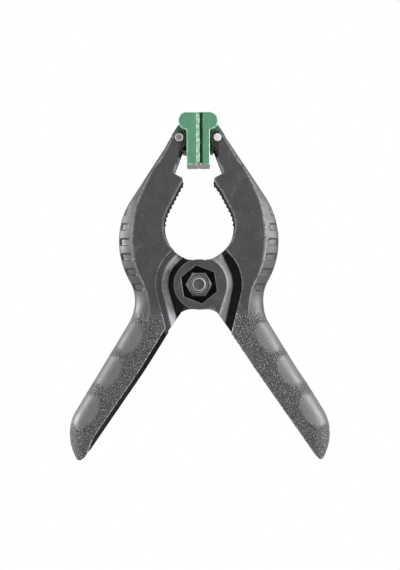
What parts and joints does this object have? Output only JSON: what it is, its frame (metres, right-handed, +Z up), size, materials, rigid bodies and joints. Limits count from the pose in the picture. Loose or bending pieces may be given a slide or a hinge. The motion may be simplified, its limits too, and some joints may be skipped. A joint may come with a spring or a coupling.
{
  "type": "spring clamp",
  "caption": "Plastic spring clamp: two crossed levers on a bolt, a torsion spring coiled inside, a toothed throat and a swivelling pad on each jaw.",
  "frame": {"origin": "centre of the bounding box's bottom face, between the handle tips that the clamp stands on", "axes": "+Z up along the clamp's length to the jaws, Y along the pivot bolt with the nut at -Y, X across the opening jaws"},
  "size_m": [0.1134, 0.034, 0.1499],
  "materials": {
    "nylon": "satin moulded nylon with a pebbled grain on the handles",
    "pad_plastic": "smooth satin",
    "zinc": "zinc plated",
    "spring_steel": "drawn wire"
  },
  "bodies": {
    "left_half": {"left_lever": "nylon", "left_pad_pin": "zinc", "pivot_bolt": "zinc", "pivot_nut": "zinc", "torsion_spring": "spring_steel"},
    "right_half": {"right_lever": "nylon", "right_pad_pin": "zinc"},
    "left_jaw_pad": {"left_pad": "pad_plastic"},
    "right_jaw_pad": {"right_pad": "pad_plastic"}
  },
  "joints": [
    {"name": "jaw_pivot", "type": "hinge", "parent": "left_half", "child": "right_half", "pos_m": [0, 0, 0.0755], "axis": [0, 1, 0], "range_deg": [0, 50], "stiffness_Nm_per_rad": 1, "springref_deg": -17.19, "deforming": ["torsion_spring"]},
    {"name": "right_pad_swivel", "type": "hinge", "parent": "right_half", "child": "right_jaw_pad", "pos_m": [0.0083, 0, 0.139], "axis": [0, -1, 0], "range_deg": [0, 20]},
    {"name": "left_pad_swivel", "type": "hinge", "parent": "left_half", "child": "left_jaw_pad", "pos_m": [-0.0083, 0, 0.139], "axis": [0, 1, 0], "range_deg": [0, 20]}
  ],
  "couplings": [
    {"joint": "right_pad_swivel", "follows": "jaw_pivot", "ratio": 0.4},
    {"joint": "left_pad_swivel", "follows": "jaw_pivot", "ratio": 0.4}
  ]
}
